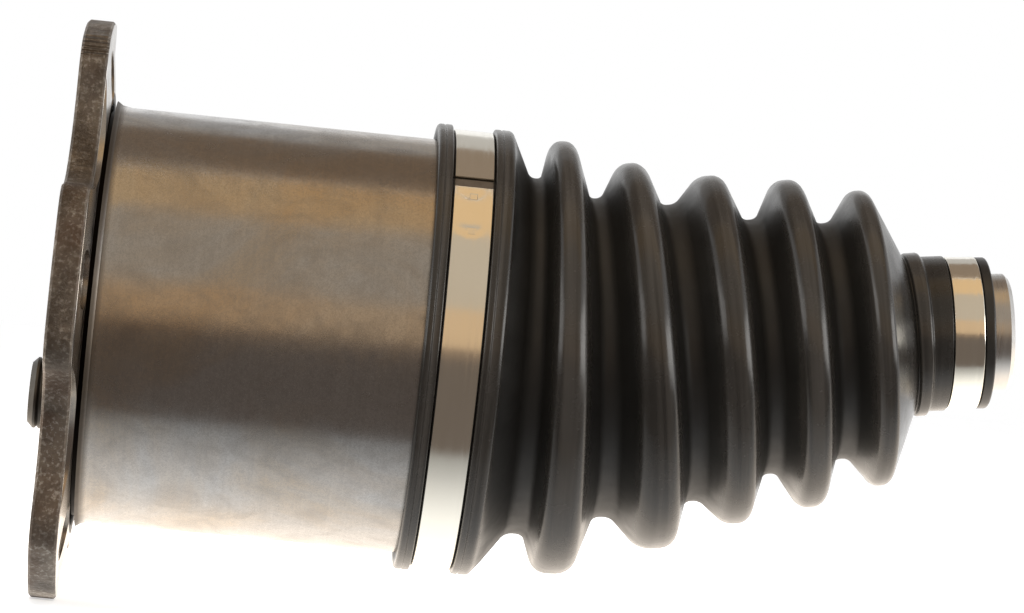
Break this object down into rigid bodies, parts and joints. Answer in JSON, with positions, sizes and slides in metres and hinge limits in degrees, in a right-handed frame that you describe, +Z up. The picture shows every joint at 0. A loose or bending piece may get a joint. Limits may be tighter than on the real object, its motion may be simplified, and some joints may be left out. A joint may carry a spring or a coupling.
{
  "type": "drive shaft joint",
  "caption": "Inner tripod joint end of a drive shaft: scalloped bolt flange, round steel housing, convoluted rubber boot, band clamps and a short shaft stub.",
  "frame": {"origin": "centre of the flange's mounting face, on the housing's axis", "axes": "+X along the housing's axis from the mounting face towards the shaft, +Z up as the shaft rests, tilted up in the plane of X and Z"},
  "size_m": [0.2199, 0.1296, 0.1302],
  "materials": {
    "housing_steel": "turned",
    "cover_steel": "pressed",
    "dowel_steel": "oiled",
    "boot_rubber": "satin",
    "clamp_steel": "bright",
    "bearing_steel": "ground",
    "bar_steel": "turned",
    "spring_steel": "oiled"
  },
  "bodies": {
    "housing": {"joint_housing": "housing_steel", "end_cover": "cover_steel", "locating_dowel": "dowel_steel", "boot": "boot_rubber", "large_clamp": "clamp_steel"},
    "ring_1": {"outer_ring_1": "bearing_steel"},
    "roller_1": {"inner_roller_1": "bearing_steel", "needle_set_1": "bearing_steel"},
    "shaft": {"spider": "bearing_steel", "shaft_bar": "bar_steel", "shaft_end_circlip": "spring_steel", "shaft_stop_circlip": "spring_steel", "small_clamp": "clamp_steel", "needle_washer_1": "spring_steel", "needle_washer_2": "spring_steel", "needle_washer_3": "spring_steel", "trunnion_circlip_1": "spring_steel", "trunnion_circlip_2": "spring_steel", "trunnion_circlip_3": "spring_steel"},
    "roller_2": {"outer_ring_2": "bearing_steel", "inner_roller_2": "bearing_steel"},
    "needles_2": {"needle_set_2": "bearing_steel"},
    "roller_3": {"outer_ring_3": "bearing_steel", "inner_roller_3": "bearing_steel"},
    "needles_3": {"needle_set_3": "bearing_steel"}
  },
  "joints": [
    {"name": "plunge", "type": "slide", "parent": "housing", "child": "ring_1", "axis": [1, 0, 0], "range_m": [-0.02, 0.006], "deforming": ["boot"]},
    {"name": "tilt", "type": "hinge", "parent": "ring_1", "child": "roller_1", "pos_m": [0.07233, 0, -0.026], "axis": [0, -1, 0], "range_deg": [-16.4, 3.6], "deforming": ["boot"]},
    {"name": "swing", "type": "hinge", "parent": "roller_1", "child": "shaft", "pos_m": [0.0694, 0, 0.00017], "axis": [0.1115, 0, -0.9938], "range_deg": [-10, 10], "deforming": ["boot"]},
    {"name": "roller_2_turn", "type": "hinge", "parent": "shaft", "child": "roller_2", "pos_m": [0.0694, 0, 0.00017], "axis": [-0.0557, 0.866, 0.4969], "continuous": true},
    {"name": "needles_2_orbit", "type": "hinge", "parent": "shaft", "child": "needles_2", "pos_m": [0.0694, 0, 0.00017], "axis": [-0.0557, 0.866, 0.4969], "continuous": true},
    {"name": "roller_3_turn", "type": "hinge", "parent": "shaft", "child": "roller_3", "pos_m": [0.0694, 0, 0.00017], "axis": [-0.0557, -0.866, 0.4969], "continuous": true},
    {"name": "needles_3_orbit", "type": "hinge", "parent": "shaft", "child": "needles_3", "pos_m": [0.0694, 0, 0.00017], "axis": [-0.0557, -0.866, 0.4969], "continuous": true}
  ],
  "couplings": [
    {"joint": "needles_2_orbit", "follows": "roller_2_turn", "ratio": 0.5685},
    {"joint": "needles_3_orbit", "follows": "roller_3_turn", "ratio": 0.5685}
  ]
}
